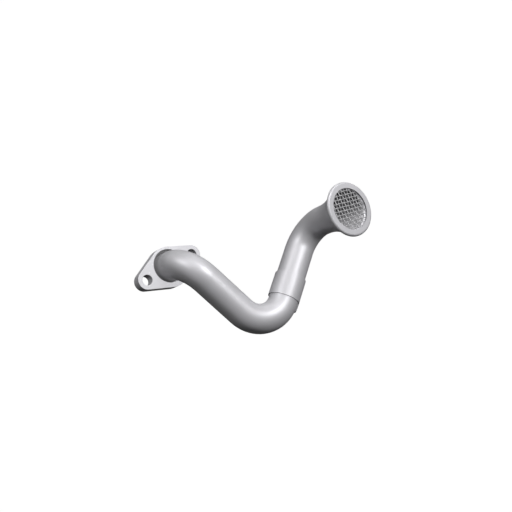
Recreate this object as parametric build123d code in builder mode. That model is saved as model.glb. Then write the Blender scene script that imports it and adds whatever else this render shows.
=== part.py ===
from build123d import *
from math import asin, atan2, ceil, cos, degrees, radians, sin, sqrt, tan
import os

os.makedirs("parts", exist_ok=True)

# Tube
tube_od = 20.0
tube_wall = 1.5
bend_radius = 20.0

# Route of the centre line, corner to corner
stem_height = 21.1
lower_run = 77.6
upper_run = 85.1
neck_length = 48.3
run_azimuth = -71.9
run_turn = 107.7
run_rise = 3.45
mouth_lean = 1.5

# Flange
flange_thickness = 7.3
flange_body_radius = 13.8
flange_lobe_radius = 6.3
bolt_spacing = 38.0
bolt_hole_diameter = 7.0
braze_well_radius = 11.3
braze_well_shift = 0.75
braze_well_depth = 3.6
braze_gap = 0.05
tube_recess = 0.5

# Joint sleeve
sleeve_wall = 0.85
sleeve_gap = 0.05
sleeve_length = 16.5
sleeve_offset = 1.4
butt_gap = 0.4
tongue_width_angle = 48.0
tongue_bend_angle = 8.0

# Mouth
ring_od = 36.4
ring_width = 4.3
ring_thickness = 1.5
ring_edge_radius = 1.3
flare_length = 24.9
lip_wall = 1.1

# Woven screen
wire_diameter = 1.0
wire_sides = 8
mesh_pitch = 2.5
mesh_angle = -49.8
mesh_shift = -0.9
crossing_bite = 0.1
screen_fit = 0.05
screen_band = 1.2


def direction(azimuth, elevation):
    """Unit vector from an azimuth and an elevation in degrees."""
    level = cos(radians(elevation))
    return Vector(
        level * cos(radians(azimuth)),
        level * sin(radians(azimuth)),
        sin(radians(elevation)),
    )


# Centre line: up from the flange, along two nearly level runs, and up again to the mouth
tube_radius = tube_od / 2
bore_radius = tube_radius - tube_wall
lower_direction = direction(run_azimuth, run_rise)
upper_direction = direction(run_azimuth + run_turn, run_rise)
mouth_direction = direction(run_azimuth + run_turn + 180, 90 - mouth_lean)
tube_start = Vector(0, 0, tube_recess)
first_corner = Vector(0, 0, flange_thickness + stem_height)
second_corner = first_corner + lower_direction * lower_run
third_corner = second_corner + upper_direction * upper_run
mouth_centre = third_corner + mouth_direction * neck_length

# Plane of the mouth: origin at the ring's front, Z out of the mouth
mouth_side = mouth_direction.cross(upper_direction).normalized()
mouth_forward = mouth_side.cross(mouth_direction)
mouth_plane = Plane(mouth_centre, x_dir=mouth_forward, z_dir=mouth_direction)
mouth_axis = Axis(mouth_centre, mouth_direction)

# The sleeve starts just past the end of the U-shaped bend, and the tubes butt in its middle
u_turn = lower_direction.get_angle(upper_direction)
u_end = second_corner + upper_direction * (bend_radius * tan(radians(u_turn / 2)))
sleeve_start = u_end + upper_direction * sleeve_offset
butt_point = sleeve_start + upper_direction * (sleeve_length / 2)
lower_end = butt_point - upper_direction * (butt_gap / 2)
upper_start = butt_point + upper_direction * (butt_gap / 2)

# Outside of the U-shaped bend, seen from its centre
u_axis = upper_direction.cross(lower_direction).normalized()
u_outward = u_axis.cross(upper_direction).normalized()
u_centre = u_end - u_outward * bend_radius

# Flare: an arc that leaves the tube along its axis and ends at the ring's outer edge
flare_rise = ring_od / 2 - tube_radius
flare_radius = (flare_length**2 + flare_rise**2) / (2 * flare_rise)
flare_angle = degrees(asin(flare_length / flare_radius))
lip_height = -ring_thickness
throat_height = lip_height - flare_length
flare_start = mouth_centre + mouth_direction * throat_height

# Weave: every wire is kinked at each crossing, so its corners stand a little proud of its sides
wire_radius = wire_diameter / 2
crossing_height = wire_radius - crossing_bite / 2
kink_slope = atan2(2 * crossing_height, mesh_pitch)
weave_thickness = 2 * (crossing_height + wire_radius / cos(kink_slope))

# Seat of the screen, as deep as the weave is thick, with the lip's wall left round it
ledge_height = lip_height - weave_thickness
ledge_rise = ledge_height - throat_height
ledge_outer_radius = tube_radius + flare_radius - sqrt(flare_radius**2 - ledge_rise**2)
seat_radius = ledge_outer_radius - lip_wall
inner_flare_radius = flare_radius + tube_wall
inner_flare_angle = degrees(asin(ledge_rise / inner_flare_radius))


with BuildPart() as flange:
    with BuildSketch():
        Circle(flange_body_radius)
        with Locations((-bolt_spacing / 2, 0), (bolt_spacing / 2, 0)):
            Circle(flange_lobe_radius)
        make_hull()
    extrude(amount=flange_thickness)
    with Locations((0, 0, flange_thickness)):
        Hole(tube_radius + braze_gap)
    # Well for the braze, wider on the side that the tube bends away from
    with Locations((0, braze_well_shift, flange_thickness)):
        Hole(braze_well_radius, depth=braze_well_depth)
    with Locations(
        (-bolt_spacing / 2, 0, flange_thickness),
        (bolt_spacing / 2, 0, flange_thickness),
    ):
        Hole(bolt_hole_diameter / 2)
flange.part.label = "flange"


with BuildPart() as lower_tube:
    with BuildLine() as lower_path:
        FilletPolyline(tube_start, first_corner, second_corner, lower_end, radius=bend_radius)
    with BuildSketch(Plane(tube_start, z_dir=(0, 0, 1))):
        Circle(tube_radius)
        Circle(bore_radius, mode=Mode.SUBTRACT)
    sweep(path=lower_path.wires()[0])
lower_tube.part.label = "lower_tube"


with BuildPart() as joint_sleeve:
    with BuildSketch(Plane(sleeve_start, x_dir=u_outward, z_dir=upper_direction)):
        Circle(tube_radius + sleeve_gap + sleeve_wall)
        Circle(tube_radius + sleeve_gap, mode=Mode.SUBTRACT)
    extrude(amount=sleeve_length)
    # The tongue carries a part of the wall down to the bend's end and a little way round it
    with BuildSketch(Plane(u_end, x_dir=u_outward, z_dir=upper_direction)) as tongue_section:
        with BuildLine():
            outer_arc = CenterArc(
                (0, 0),
                tube_radius + sleeve_gap + sleeve_wall,
                -tongue_width_angle / 2,
                tongue_width_angle,
            )
            inner_arc = CenterArc(
                (0, 0), tube_radius + sleeve_gap, -tongue_width_angle / 2, tongue_width_angle
            )
            Line(outer_arc @ 0, inner_arc @ 0)
            Line(outer_arc @ 1, inner_arc @ 1)
        make_face()
    extrude(amount=sleeve_offset)
    revolve(tongue_section.sketch, axis=Axis(u_centre, u_axis), revolution_arc=tongue_bend_angle)
joint_sleeve.part.label = "joint_sleeve"


with BuildPart() as upper_tube:
    with BuildLine() as upper_path:
        FilletPolyline(upper_start, third_corner, flare_start, radius=bend_radius)
    with BuildSketch(Plane(upper_start, z_dir=upper_direction)):
        Circle(tube_radius)
        Circle(bore_radius, mode=Mode.SUBTRACT)
    sweep(path=upper_path.wires()[0])
    # Half section of the trumpet, with the screen's seat cut into its lip
    with BuildSketch(Plane(mouth_centre, x_dir=mouth_forward, z_dir=mouth_side * -1)):
        with BuildLine():
            outside = JernArc((tube_radius, throat_height), (0, 1), flare_radius, -flare_angle)
            inside = JernArc(
                (bore_radius, throat_height), (0, 1), inner_flare_radius, -inner_flare_angle
            )
            Polyline(
                outside @ 1,
                (seat_radius, lip_height),
                (seat_radius, ledge_height),
                inside @ 1,
            )
            Line(outside @ 0, inside @ 0)
        make_face()
    revolve(axis=mouth_axis)
upper_tube.part.label = "upper_tube"


with BuildPart() as screen_ring:
    with BuildSketch(mouth_plane):
        Circle(ring_od / 2)
        Circle(ring_od / 2 - ring_width, mode=Mode.SUBTRACT)
    extrude(amount=-ring_thickness)
    front_edges = screen_ring.edges().filter_by(GeomType.CIRCLE)
    fillet(front_edges.sort_by(mouth_axis)[-2:].sort_by(SortBy.RADIUS)[-1], ring_edge_radius)
screen_ring.part.label = "screen_ring"


screen_plane = Plane(
    mouth_centre + mouth_direction * (lip_height - weave_thickness / 2),
    x_dir=mouth_forward.rotate(mouth_axis, mesh_angle),
    z_dir=mouth_direction,
)
screen_radius = seat_radius - screen_fit
trim_radius = screen_radius - screen_band / 2
reach = ceil((trim_radius + abs(mesh_shift)) / mesh_pitch)


def wire_places(parity, shift):
    """Places of the even (0) or odd (1) wires that cross the open part of the screen."""
    places = [index * mesh_pitch for index in range(-reach, reach + 1) if index % 2 == parity]
    return [place for place in places if abs(place + shift) < screen_radius - screen_band]


def kinked_wire(first_side):
    """Wire along X that passes above and below its crossings in turn, above the first if 1."""
    kinks = [
        (index * mesh_pitch, 0, first_side * crossing_height * (-1) ** (index + reach))
        for index in range(-reach - 1, reach + 2)
    ]
    with BuildPart() as wire:
        with BuildLine() as route:
            Polyline(*kinks)
        with BuildSketch(Plane(kinks[0], x_dir=(0, 1, 0), z_dir=route.line % 0)):
            RegularPolygon(wire_radius, wire_sides, major_radius=False, rotation=180 / wire_sides)
        sweep(path=route.wires()[0], transition=Transition.RIGHT)
    return wire.part


over_first = kinked_wire(1)
under_first = kinked_wire(-1)

with BuildPart(screen_plane) as screen:
    with Locations((mesh_shift, 0)):
        with Locations(*[(0, across) for across in wire_places(0, 0)]):
            add(over_first)
        with Locations(*[(0, across) for across in wire_places(1, 0)]):
            add(under_first)
        with Locations(*[Location((along, 0, 0), (0, 0, 90)) for along in wire_places(0, mesh_shift)]):
            add(under_first)
        with Locations(*[Location((along, 0, 0), (0, 0, 90)) for along in wire_places(1, mesh_shift)]):
            add(over_first)
    Cylinder(trim_radius, 2 * weave_thickness, mode=Mode.INTERSECT)
    # Pressed edge, which fills the seat and holds the ends of the wires
    with BuildSketch(screen_plane.offset(-weave_thickness / 2)):
        Circle(screen_radius)
        Circle(screen_radius - screen_band, mode=Mode.SUBTRACT)
    extrude(amount=weave_thickness)
screen.part.label = "screen"


export_step(flange.part, "parts/flange.step")
export_step(lower_tube.part, "parts/lower_tube.step")
export_step(joint_sleeve.part, "parts/joint_sleeve.step")
export_step(upper_tube.part, "parts/upper_tube.step")
export_step(screen.part, "parts/screen.step")
export_step(screen_ring.part, "parts/screen_ring.step")
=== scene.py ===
import math

import bmesh
import bpy
import numpy as np
from mathutils import Matrix, Vector


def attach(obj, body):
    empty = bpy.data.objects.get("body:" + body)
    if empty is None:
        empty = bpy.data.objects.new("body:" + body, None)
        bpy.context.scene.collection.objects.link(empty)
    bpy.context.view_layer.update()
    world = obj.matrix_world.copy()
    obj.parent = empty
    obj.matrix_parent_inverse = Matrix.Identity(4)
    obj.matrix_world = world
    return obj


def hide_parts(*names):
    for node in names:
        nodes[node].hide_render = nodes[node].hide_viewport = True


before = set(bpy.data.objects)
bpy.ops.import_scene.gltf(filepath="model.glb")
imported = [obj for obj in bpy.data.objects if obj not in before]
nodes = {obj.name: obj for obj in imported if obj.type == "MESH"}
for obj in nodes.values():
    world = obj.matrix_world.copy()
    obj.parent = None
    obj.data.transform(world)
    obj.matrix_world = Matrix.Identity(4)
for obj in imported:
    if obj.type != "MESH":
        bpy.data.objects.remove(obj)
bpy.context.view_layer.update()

scene = bpy.context.scene
scene.view_settings.view_transform = "Standard"
MM = 0.001


# Camera at the photograph's place and angle
camera_data = bpy.data.cameras.new("camera")
camera_data.lens_unit = "FOV"
camera_data.angle = math.radians(45)
camera_data.clip_start = 0.01
camera_data.clip_end = 20
camera = bpy.data.objects.new("camera", camera_data)
scene.collection.objects.link(camera)
eye = Vector((-0.191731, 0.008456, 0.372134))
right = Vector((0.690354, -0.492999, 0.529493))
up = Vector((0.441594, 0.866869, 0.231372))
back = right.cross(up)
camera.matrix_world = Matrix.Translation(eye) @ Matrix((right, up, back)).transposed().to_4x4()
scene.camera = camera


# Lamps, as the camera sees them: a key at upper right, one at upper left, and two weak ones above.
# The photograph has no cast shadows, so only the soft fill lamp casts any.
def sun(name, towards, strength, angle, shadow=True):
    """Lamp that shines from a direction, as wide as an angle in degrees."""
    data = bpy.data.lights.new(name, "SUN")
    data.energy = strength
    data.angle = math.radians(angle)
    data.use_shadow = shadow
    lamp = bpy.data.objects.new(name, data)
    lamp.rotation_euler = Vector(towards).to_track_quat("Z", "Y").to_euler()
    scene.collection.objects.link(lamp)


sun("key_lamp", (0.35, 0.30, 0.89), 1.84, 14, shadow=False)
sun("back_lamp", (-0.43, 0.84, 0.33), 1.09, 14, shadow=False)
sun("side_lamp", (0.76, 0.65, 0.02), 0.20, 20, shadow=False)
sun("fill_lamp", (0.21, 0.79, 0.58), 0.47, 30)


# Studio: white for the camera and through openings, dimmer in the metal, and dark for the rest
SKY_WHITE = 1
SKY_MIRRORED = 0.2
FLOOR_WHITE = 0.35
FLOOR_MIRRORED = 0.06
AROUND = 0.02
FLOOR_SIZE = 12
FLOOR_LEVEL = -0.6
FLOOR_PAINT = (0.9, 0.9, 0.9, 1)
FLOOR_UNLIT = (0.02, 0.02, 0.02, 1)


def studio_level(tree, white, mirrored):
    """1 where the camera sees the surround and 0 elsewhere, and its strength for each kind of ray."""
    path = tree.nodes.new("ShaderNodeLightPath")
    seen = tree.nodes.new("ShaderNodeMath")
    seen.operation = "MAXIMUM"
    gloss = tree.nodes.new("ShaderNodeMapRange")
    gloss.inputs["To Min"].default_value = AROUND
    gloss.inputs["To Max"].default_value = mirrored
    level = tree.nodes.new("ShaderNodeMapRange")
    level.inputs["To Max"].default_value = white
    tree.links.new(path.outputs["Is Camera Ray"], seen.inputs[0])
    tree.links.new(path.outputs["Is Transmission Ray"], seen.inputs[1])
    tree.links.new(path.outputs["Is Glossy Ray"], gloss.inputs["Value"])
    tree.links.new(seen.outputs[0], level.inputs["Value"])
    tree.links.new(gloss.outputs["Result"], level.inputs["To Min"])
    return seen.outputs[0], level.outputs["Result"]


world = bpy.data.worlds.new("studio")
world.use_nodes = True
scene.world = world
background = world.node_tree.nodes["Background"]
background.inputs["Color"].default_value = (1, 1, 1, 1)
_, sky_level = studio_level(world.node_tree, SKY_WHITE, SKY_MIRRORED)
world.node_tree.links.new(sky_level, background.inputs["Strength"])


def floor_finish():
    """Pale floor that keeps a shadow for the camera and throws little light back at the object."""
    material = bpy.data.materials.new("floor_paint")
    material.use_nodes = True
    tree = material.node_tree
    tree.nodes.clear()
    seen, level = studio_level(tree, FLOOR_WHITE, FLOOR_MIRRORED)
    paint = tree.nodes.new("ShaderNodeBsdfDiffuse")
    paint.inputs["Color"].default_value = FLOOR_PAINT
    unlit = tree.nodes.new("ShaderNodeBsdfDiffuse")
    unlit.inputs["Color"].default_value = FLOOR_UNLIT
    mix = tree.nodes.new("ShaderNodeMixShader")
    glow = tree.nodes.new("ShaderNodeEmission")
    both = tree.nodes.new("ShaderNodeAddShader")
    output = tree.nodes.new("ShaderNodeOutputMaterial")
    tree.links.new(seen, mix.inputs[0])
    tree.links.new(unlit.outputs[0], mix.inputs[1])
    tree.links.new(paint.outputs[0], mix.inputs[2])
    tree.links.new(level, glow.inputs["Strength"])
    tree.links.new(mix.outputs[0], both.inputs[0])
    tree.links.new(glow.outputs[0], both.inputs[1])
    tree.links.new(both.outputs[0], output.inputs["Surface"])
    return material


bpy.ops.mesh.primitive_plane_add(size=FLOOR_SIZE, location=(0, 0, FLOOR_LEVEL))
floor = bpy.context.object
floor.name = "floor"
floor.data.materials.append(floor_finish())


# Driving dimensions of the CAD model, in millimetres and degrees
tube_radius = 10.0
bend_radius = 20.0
stem_height = 21.1
lower_run = 77.6
upper_run = 85.1
neck_length = 48.3
run_azimuth = -71.9
run_turn = 107.7
run_rise = 3.45
mouth_lean = 1.5
tube_recess = 0.5
flange_thickness = 7.3
bolt_spacing = 38.0
bolt_hole_radius = 3.5
well_radius = 11.3
well_shift = 0.75
well_depth = 3.6
ring_radius = 18.2
ring_thickness = 1.5
flare_length = 24.9
lip_wall = 1.1
mesh_pitch = 2.5
mesh_angle = -49.8
mesh_shift = -0.9
cad_wire_radius = 0.5
cad_crossing_height = 0.45
screen_fit = 0.05
screen_band = 1.2

# The screen's own sizes here: wires as if rolled flat, and an apron that slopes down under them
wire_half_width = 0.4
wire_half_height = 0.26
wire_rise = 0.24
wire_sides = 12
steps_per_pitch = 10
edge_steps = 96
edge_round = 0.15
edge_top_width = 0.3
edge_step_width = 0.5
edge_step_level = 0.2
apron_width = 1.0
apron_top = -0.1
apron_foot = -0.65


def direction(azimuth, elevation):
    """Unit vector from an azimuth and an elevation in degrees."""
    level = math.cos(math.radians(elevation))
    return Vector((
        level * math.cos(math.radians(azimuth)),
        level * math.sin(math.radians(azimuth)),
        math.sin(math.radians(elevation)),
    ))


# Corners of the tube's centre line, and the directions of the mouth
upper_direction = direction(run_azimuth + run_turn, run_rise)
mouth_direction = direction(run_azimuth + run_turn + 180, 90 - mouth_lean)
mouth_forward = mouth_direction.cross(upper_direction).normalized().cross(mouth_direction)
tube_start = Vector((0, 0, tube_recess))
first_corner = Vector((0, 0, flange_thickness + stem_height))
second_corner = first_corner + direction(run_azimuth, run_rise) * lower_run
third_corner = second_corner + upper_direction * upper_run
mouth_centre = third_corner + mouth_direction * neck_length
route = [tube_start, first_corner, second_corner, third_corner, mouth_centre]

# Seat of the screen: as deep as the CAD weave, with the lip's wall left round it
kink_slope = math.atan2(2 * cad_crossing_height, mesh_pitch)
weave_thickness = 2 * (cad_crossing_height + cad_wire_radius / math.cos(kink_slope))
flare_rise = ring_radius - tube_radius
flare_radius = (flare_length**2 + flare_rise**2) / (2 * flare_rise)
ledge_rise = flare_length - weave_thickness
seat_radius = tube_radius + flare_radius - math.sqrt(flare_radius**2 - ledge_rise**2) - lip_wall
screen_radius = seat_radius - screen_fit
trim_radius = screen_radius - screen_band / 2
band_radius = screen_radius - screen_band


def centre_line(spacing=0.5, bend_steps=80):
    """Points, directions, sides and lengths run along the tube's centre line, a spacing or less apart."""
    points = [route[0]]
    for before, corner, after in zip(route, route[1:], route[2:]):
        first = (before - corner).normalized()
        second = (after - corner).normalized()
        half = first.angle(second) / 2
        reach = bend_radius / math.tan(half)
        centre = corner + (first + second).normalized() * (bend_radius / math.sin(half))
        start = corner + first * reach
        end = corner + second * reach
        axis = (start - centre).cross(end - centre).normalized()
        sweep = math.pi - 2 * half
        points.append(start)
        for step in range(1, bend_steps):
            points.append(centre + Matrix.Rotation(sweep * step / bend_steps, 3, axis) @ (start - centre))
        points.append(end)
    points.append(route[-1])
    fine = []
    for first, second in zip(points, points[1:]):
        count = max(1, math.ceil((second - first).length / spacing))
        fine += [first.lerp(second, step / count) for step in range(count)]
    line = np.array(fine)
    way = np.gradient(line, axis=0)
    way /= np.linalg.norm(way, axis=1)[:, None]
    side = [np.array((1.0, 0.0, 0.0))]
    for step in way[1:]:
        turned = side[-1] - side[-1].dot(step) * step
        side.append(turned / np.linalg.norm(turned))
    run = np.r_[0, np.cumsum(np.linalg.norm(np.diff(line, axis=0), axis=1))]
    return line, way, np.array(side), run


LINE, WAY, SIDE, RUN = centre_line()


def straighten(places, at_once=2000):
    """Each place as across, across and along a straightened tube, and its radial direction."""
    nearest = np.concatenate([
        np.argmin(((part[:, None] - LINE[None]) ** 2).sum(2), axis=1)
        for part in np.array_split(places, max(1, len(places) // at_once))
    ])
    offset = places - LINE[nearest]
    along = (offset * WAY[nearest]).sum(1)
    offset -= along[:, None] * WAY[nearest]
    cross = np.cross(WAY[nearest], SIDE[nearest])
    straight = np.c_[(offset * SIDE[nearest]).sum(1), (offset * cross).sum(1), RUN[nearest] + along]
    radial = offset / np.maximum(np.linalg.norm(offset, axis=1), 1e-6)[:, None]
    return straight, radial


def faces_of(piece):
    """Centres in millimetres and normals of a piece's faces."""
    count = len(piece.data.polygons)
    centres = np.zeros(count * 3)
    normals = np.zeros(count * 3)
    piece.data.polygons.foreach_get("center", centres)
    piece.data.polygons.foreach_get("normal", normals)
    return centres.reshape(-1, 3) / MM, normals.reshape(-1, 3)


def outwardness(piece):
    """How far each face looks away from the centre line, from 1 for outwards to -1 for inwards."""
    centres, normals = faces_of(piece)
    _, radial = straighten(centres)
    return (normals * radial).sum(1)


def lay_run(piece):
    """Keeps each vertex's straightened place on the mesh, for the drawing lines along the tube."""
    spots = np.zeros(len(piece.data.vertices) * 3)
    piece.data.vertices.foreach_get("co", spots)
    straight, _ = straighten(spots.reshape(-1, 3) / MM)
    layer = piece.data.attributes.new("run", "FLOAT_VECTOR", "POINT")
    layer.data.foreach_set("vector", (straight * MM).ravel())


def coordinates(tree, attribute=None):
    """Object coordinates, or the vectors kept on the mesh under a name."""
    if attribute:
        node = tree.nodes.new("ShaderNodeAttribute")
        node.attribute_name = attribute
        return node.outputs["Vector"]
    return tree.nodes.new("ShaderNodeTexCoord").outputs["Object"]


def parts_of(tree, source):
    """X, Y and Z of a vector."""
    node = tree.nodes.new("ShaderNodeSeparateXYZ")
    tree.links.new(source, node.inputs[0])
    return node.outputs


def noise(tree, source, scale, detail, stretch=None):
    """Noise over a source of coordinates, stretched where a factor for each axis is given."""
    if stretch:
        mapping = tree.nodes.new("ShaderNodeMapping")
        mapping.inputs["Scale"].default_value = stretch
        tree.links.new(source, mapping.inputs["Vector"])
        source = mapping.outputs["Vector"]
    texture = tree.nodes.new("ShaderNodeTexNoise")
    texture.inputs["Scale"].default_value = scale
    texture.inputs["Detail"].default_value = detail
    tree.links.new(source, texture.inputs["Vector"])
    return texture.outputs["Fac"]


def spread(tree, value, low, high, start=0.3, end=0.7):
    """Value between two levels, as the input goes from start to end, by default a noise's usual ends."""
    node = tree.nodes.new("ShaderNodeMapRange")
    node.inputs["From Min"].default_value = start
    node.inputs["From Max"].default_value = end
    node.inputs["To Min"].default_value = low
    node.inputs["To Max"].default_value = high
    tree.links.new(value, node.inputs["Value"])
    return node.outputs["Result"]


def blend_of(tree, factor, first, second):
    """Colour between two colours or outputs, by a factor from 0 to 1."""
    mix = tree.nodes.new("ShaderNodeMix")
    mix.data_type = "RGBA"
    tree.links.new(factor, mix.inputs[0])
    for socket, color in ((mix.inputs[6], first), (mix.inputs[7], second)):
        if isinstance(color, tuple):
            socket.default_value = (*color, 1)
        else:
            tree.links.new(color, socket)
    return mix.outputs[2]


def fade(tree, value, ends, first, second):
    """Colour that goes from the first to the second while a value goes from end to end."""
    return blend_of(tree, spread(tree, value, 0, 1, *ends), first, second)


def bump(tree, height, strength, distance, normal=None):
    """Normal of a surface that a height raises, over another normal where one is given."""
    node = tree.nodes.new("ShaderNodeBump")
    node.inputs["Strength"].default_value = strength
    node.inputs["Distance"].default_value = distance
    tree.links.new(height, node.inputs["Height"])
    if normal is not None:
        tree.links.new(normal, node.inputs["Normal"])
    return node.outputs["Normal"]


def start_finish(name, metallic):
    """New material, with its node tree and its shader."""
    material = bpy.data.materials.new(name)
    material.use_nodes = True
    shader = material.node_tree.nodes["Principled BSDF"]
    shader.inputs["Metallic"].default_value = metallic
    return material, material.node_tree, shader


# Scales of the noises per metre, and strengths and depths in metres of the relief
CLOUDS = 55
SPECKS = 1400
PATCHES = 160
PITS = 700
GRAIN_STRENGTH = 0.25
GRAIN_DEPTH = 0.00001
PIT_STRENGTH = 0.4
PIT_DEPTH = 0.00003

# How far the roughness swings with the drawing lines, the clouds and the patches
LINE_SWING = 0.04
CLOUD_SWING = 0.02
PATCH_SWING = 0.08

# Painted shade: the tone that dull faces turn to on their shaded side
SHADE = (0.12, 0.12, 0.122)

# Worn edges: how far the bevelled and the true normal match, how bright they are, and how much shows
EDGE_MATCH = (0.8, 0.995)
EDGE_GAIN = 1.12
EDGE_SHARE = 0.6

# Painted shade on the tube, with the ranges in metres that it fades over: at its foot by the flange,
# by the length run along it and by Y, darkest towards -Y, and on its neck under the ring, by Y and by Z
FOOT_SHADE = (0.42, 0.417, 0.43)
FOOT_DEEP_SHADE = (0.16, 0.159, 0.164)
FOOT_SHADE_REACH = (0.008, 0.017)
FOOT_SHADE_SIDE = (-0.010, 0.007)
NECK_SHADE = (0.42, 0.417, 0.433)
NECK_SHADE_SIDE = (-0.034, -0.020)
NECK_SHADE_HEIGHT = (0.050, 0.062)


def worn_edges(tree, radius):
    """Normal with the edges rounded by handling, and a factor that is higher where they are."""
    bevel = tree.nodes.new("ShaderNodeBevel")
    bevel.samples = 6
    bevel.inputs["Radius"].default_value = radius
    surface = tree.nodes.new("ShaderNodeNewGeometry")
    match = tree.nodes.new("ShaderNodeVectorMath")
    match.operation = "DOT_PRODUCT"
    tree.links.new(bevel.outputs["Normal"], match.inputs[0])
    tree.links.new(surface.outputs["Normal"], match.inputs[1])
    return bevel.outputs["Normal"], spread(tree, match.outputs["Value"], EDGE_SHARE, 0, *EDGE_MATCH)


def shaded_tube_tone(tree, tone, spot, run):
    """Tone with painted shade on the neck, under the ring, and at the foot, by the flange."""
    neck_shade = fade(tree, spot["Y"], NECK_SHADE_SIDE, NECK_SHADE, tone)
    tone = fade(tree, spot["Z"], NECK_SHADE_HEIGHT, tone, neck_shade)
    foot_shade = fade(tree, spot["Y"], FOOT_SHADE_SIDE, FOOT_DEEP_SHADE, FOOT_SHADE)
    return fade(tree, run, FOOT_SHADE_REACH, foot_shade, tone)


def steel(
    name, light, dark, metallic, roughness,
    lines=None, line_scale=900, stretch=(1, 1, 1), edge=0.25, painted_shade=False,
):
    """Satin steel: cloudy tone, fine grain, faint lines from forming, and brighter worn edges.

    The lines follow the vectors kept on the mesh under a name, if it is given. The edge is the
    radius of worn edges in millimetres. With painted shade, the piece is darker at the tube's foot and
    neck.
    """
    material, tree, shader = start_finish(name, metallic)
    place = coordinates(tree)
    way = coordinates(tree, lines)
    clouds = noise(tree, place, CLOUDS, 3)
    specks = noise(tree, place, SPECKS, 2)
    drawn = noise(tree, way, line_scale, 3, stretch)
    tone = blend_of(tree, spread(tree, clouds, 0, 1), dark, light)
    if painted_shade:
        tone = shaded_tube_tone(tree, tone, parts_of(tree, place), parts_of(tree, way)["Z"])
    rounded, worn = worn_edges(tree, edge * MM)
    bright = tuple(min(1, EDGE_GAIN * level) for level in light)
    tree.links.new(blend_of(tree, worn, tone, bright), shader.inputs["Base Color"])
    smudge = tree.nodes.new("ShaderNodeMath")
    smudge.operation = "ADD"
    streaks = spread(tree, drawn, roughness - LINE_SWING, roughness + LINE_SWING)
    tree.links.new(streaks, smudge.inputs[0])
    tree.links.new(spread(tree, clouds, -CLOUD_SWING, CLOUD_SWING), smudge.inputs[1])
    tree.links.new(smudge.outputs[0], shader.inputs["Roughness"])
    grain = bump(tree, specks, GRAIN_STRENGTH, GRAIN_DEPTH, rounded)
    tree.links.new(bump(tree, drawn, GRAIN_STRENGTH, GRAIN_DEPTH, grain), shader.inputs["Normal"])
    return material


def dull(
    name, light, dark, metallic, roughness,
    below=None, levels=None, sideways=None, shade=SHADE,
):
    """Dull finish, with painted light and shade, for cut, well and inner faces: patchy tone and coarse
    grain.

    It turns to the tone below down a range of Z, and to the shade over a range of Y, in metres: both are
    painted light and shade.
    """
    material, tree, shader = start_finish(name, metallic)
    place = coordinates(tree)
    spot = parts_of(tree, place)
    patches = noise(tree, place, PATCHES, 4)
    tone = blend_of(tree, spread(tree, patches, 0, 1), dark, light)
    if below:
        tone = fade(tree, spot["Z"], levels, below, tone)
    if sideways:
        tone = fade(tree, spot["Y"], sideways, tone, shade)
    tree.links.new(tone, shader.inputs["Base Color"])
    uneven = spread(tree, patches, roughness - PATCH_SWING, roughness + PATCH_SWING)
    tree.links.new(uneven, shader.inputs["Roughness"])
    pits = noise(tree, place, PITS, 3)
    tree.links.new(bump(tree, pits, PIT_STRENGTH, PIT_DEPTH), shader.inputs["Normal"])
    return material


def dress(piece, material, slot, *others):
    """Gives a piece its finish, and other finishes on the chosen faces."""
    piece.data.materials.clear()
    piece.data.materials.append(material)
    index = np.zeros(len(piece.data.polygons), np.int32)
    for number, (chosen, other) in enumerate(others, 1):
        piece.data.materials.append(other)
        index[chosen] = number
    piece.data.polygons.foreach_set("material_index", index)


# Parts of the screen, by the number of their finish: wires along X, wires along Y, pressed edge
WEFT = 0
WARP = 1
BAND = 2

# How far the drawing lines move on from wire to wire, and from the weft to the warp
WIRE_STEP = 3
KIND_STEP = 7


def skin(mesh, rings, following, kind):
    """Adds the faces between each ring of vertices and the one that follows it."""
    for first, second in zip(rings, following):
        for corner in range(len(first)):
            after = (corner + 1) % len(first)
            quad = (first[corner], first[after], second[after], second[corner])
            mesh.faces.new(quad).material_index = kind


def lay_wire(mesh, layer, kind, index, across):
    """Adds one oval wire, which passes over and under the wires of the other kind along a sine curve."""
    half = math.sqrt(trim_radius**2 - across**2)
    steps = max(2, round(2 * half / mesh_pitch * steps_per_pitch))
    lead = 0 if kind == WARP else mesh_shift
    rise = wire_rise * (-1) ** (index + kind)
    rings = []
    for step in range(steps + 1):
        place = -half + 2 * half * step / steps
        phase = math.pi * (place - lead) / mesh_pitch
        slope = math.atan(-rise * math.pi / mesh_pitch * math.sin(phase))
        ring = []
        for corner in range(wire_sides):
            turn = 2 * math.pi * corner / wire_sides
            out = wire_half_height * math.sin(turn)
            beside = across + wire_half_width * math.cos(turn)
            forward = place - out * math.sin(slope)
            height = rise * math.cos(phase) + out * math.cos(slope)
            spot = (beside, forward, height) if kind == WARP else (forward, beside, height)
            vertex = mesh.verts.new(spot)
            vertex[layer] = (
                math.cos(turn) + WIRE_STEP * index, math.sin(turn) + KIND_STEP * kind, place
            )
            ring.append(vertex)
        rings.append(ring)
    skin(mesh, rings, rings[1:], kind)
    for end in (rings[0], rings[-1][::-1]):
        mesh.faces.new(end).material_index = kind


def press_edge(mesh):
    """Adds the pressed edge, which fills the seat, and its apron under the wires."""
    depth = weave_thickness / 2
    top_radius = screen_radius - edge_top_width
    step_radius = screen_radius - edge_step_width
    apron_radius = band_radius - apron_width
    section = [
        (band_radius, -depth), (screen_radius - edge_round, -depth), (screen_radius, edge_round - depth),
        (screen_radius, depth - edge_round), (screen_radius - edge_round, depth), (top_radius, depth),
        (step_radius, edge_step_level), (apron_radius, apron_top), (apron_radius, apron_foot),
    ]
    rings = []
    for step in range(edge_steps):
        angle = 2 * math.pi * step / edge_steps
        rings.append([mesh.verts.new((r * math.cos(angle), r * math.sin(angle), z)) for r, z in section])
    skin(mesh, rings, rings[1:] + rings[:1], BAND)


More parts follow.
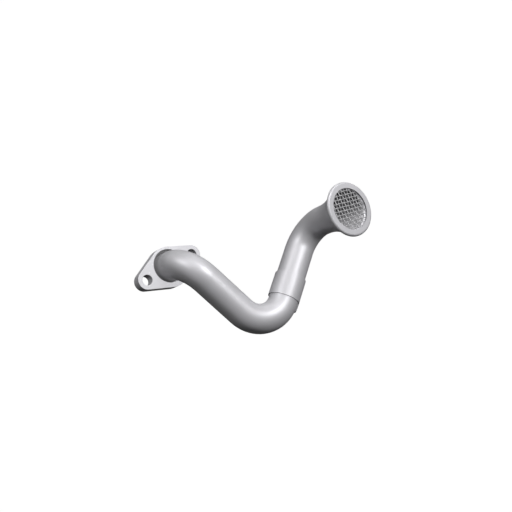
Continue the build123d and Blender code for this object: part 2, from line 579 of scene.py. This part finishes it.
def woven_screen():
    """Plain weave of two sets of wires and its pressed edge, in one mesh, on the seat in the mouth."""
    mesh = bmesh.new()
    layer = mesh.verts.layers.float_vector.new("wire")
    reach = math.ceil((trim_radius + abs(mesh_shift)) / mesh_pitch)
    for kind, shift in ((WEFT, 0), (WARP, mesh_shift)):
        for index in range(-reach, reach + 1):
            across = index * mesh_pitch + shift
            if abs(across) < band_radius:
                lay_wire(mesh, layer, kind, index, across)
    press_edge(mesh)
    bmesh.ops.recalc_face_normals(mesh, faces=mesh.faces)
    for face in mesh.faces:
        face.smooth = True
    data = bpy.data.meshes.new("woven_screen")
    mesh.to_mesh(data)
    mesh.free()
    x_axis = Matrix.Rotation(math.radians(mesh_angle), 3, mouth_direction) @ mouth_forward
    y_axis = mouth_direction.cross(x_axis)
    place = Matrix((x_axis, y_axis, mouth_direction)).transposed().to_4x4()
    place.translation = mouth_centre - mouth_direction * (ring_thickness + weave_thickness / 2)
    data.transform(Matrix.Scale(MM, 4) @ place)
    piece = bpy.data.objects.new("woven_screen", data)
    scene.collection.objects.link(piece)
    return piece


# Tones of the outer faces, and the outward look below which a face counts as inner or cut
SATIN = (0.715, 0.71, 0.74)
SATIN_DARK = (0.675, 0.67, 0.697)
TUBE_INNER = 0.3
SLEEVE_CUT = 0.5
OPENING_WALL = -0.5

# Both tubes, with their inner faces
# tube_steel is painted with shade: darker at the tube's foot and on its neck
tube_steel = steel(
    "tube_steel", SATIN, SATIN_DARK, metallic=0.3, roughness=0.5,
    lines="run", stretch=(1, 1, 0.03), painted_shade=True,
)
# Painted shade on the inner faces: a darker tone, darker still deeper in and towards +Y
shaded_inside = dull(
    "shaded_inside", (0.55, 0.547, 0.567), (0.506, 0.503, 0.517), metallic=0.3, roughness=0.5,
    below=(0.25, 0.25, 0.26), levels=(0.045, 0.062), sideways=(-0.0335, -0.0235),
)
for tube in (nodes["lower_tube"], nodes["upper_tube"]):
    lay_run(tube)
    dress(tube, tube_steel, "tube_steel", (outwardness(tube) < TUBE_INNER, shaded_inside))

# Sleeve, with its cut and inner faces
sleeve = nodes["joint_sleeve"]
# Painted shade: the sleeve's cut and inner faces are painted dark
cut_edge_shade = dull("cut_edge_shade", (0.25, 0.25, 0.26), (0.18, 0.18, 0.19), metallic=0.3, roughness=0.55)
lay_run(sleeve)
dress(sleeve, tube_steel, "tube_steel", (outwardness(sleeve) < SLEEVE_CUT, cut_edge_shade))

# Flange, with the floor and wall of the braze well and the walls of the bolt holes
flange_steel = steel(
    "flange_steel", SATIN, SATIN_DARK, metallic=0.3, roughness=0.5, stretch=(0.1, 1, 1), edge=0.4
)
# Painted shade in the braze well: its floor dark, darker still towards +Y, and its wall darker than the
# face
well_floor_shade = dull(
    "well_floor_shade", (0.42, 0.42, 0.43), (0.36, 0.36, 0.37), metallic=0.2, roughness=0.6,
    sideways=(-0.001, 0.005), shade=(0.13, 0.13, 0.133),
)
well_wall = dull("well_wall", (0.46, 0.46, 0.47), (0.40, 0.40, 0.41), metallic=0.3, roughness=0.5)
# Painted shade on the walls of the bolt holes: a darker tone, darker still towards +Y
drilled_wall_shade = dull(
    "drilled_wall_shade", (0.62, 0.62, 0.64), (0.5, 0.5, 0.52), metallic=0.3, roughness=0.5,
    sideways=(-0.001, 0.003),
)
slack = 0.1
centres, normals = faces_of(nodes["flange"])
x, y, z = centres.T
upright = np.abs(normals[:, 2]) < 0.5
well = (np.hypot(x, y - well_shift) < well_radius + slack) & (z > flange_thickness - well_depth - slack)
drilled = np.hypot(np.abs(x) - bolt_spacing / 2, y) < bolt_hole_radius + slack
dress(
    nodes["flange"], flange_steel, "flange_steel",
    (well & ~upright, well_floor_shade), (well & upright, well_wall), (drilled & upright, drilled_wall_shade),
)

# Ring, with the wall of its opening
ring = nodes["screen_ring"]
ring_steel = steel("ring_steel", SATIN, SATIN_DARK, metallic=0.3, roughness=0.5)
# Painted shadow: a dark line along the top of the opening's wall, with a steel tone below it
opening_shadow_line = dull(
    "opening_shadow_line", (0.18, 0.18, 0.19), (0.12, 0.12, 0.13), metallic=0.3, roughness=0.5,
    below=(0.75, 0.745, 0.77), levels=(0.0856, 0.0861),
)
dress(ring, ring_steel, "tube_steel", (outwardness(ring) < OPENING_WALL, opening_shadow_line))

# Screen, with a finish each for its weft, its warp and its pressed edge
# Weft and warp are one steel in two tones; the difference between them is painted light and shade
weft_steel = steel(
    "screen_weft", (0.47, 0.467, 0.479), (0.41, 0.407, 0.418), metallic=0.4, roughness=0.55,
    lines="wire", line_scale=3, edge=0.05,
)
warp_steel = steel(
    "screen_warp", (0.51, 0.507, 0.52), (0.445, 0.442, 0.453), metallic=0.4, roughness=0.55,
    lines="wire", line_scale=3, edge=0.05,
)
# Painted light and shade on the pressed edge: a near-white tone for its bright patches, and a painted
# shadow towards +Y
band_light_and_shade = dull(
    "pressed_edge_light_and_shade", (0.95, 0.945, 0.97), (0.85, 0.845, 0.87), metallic=0.4, roughness=0.3,
    sideways=(-0.021, -0.017), shade=(0.2, 0.2, 0.205),
)
screen = woven_screen()
for material in (weft_steel, warp_steel, band_light_and_shade):
    screen.data.materials.append(material)
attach(screen, "root")
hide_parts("screen")
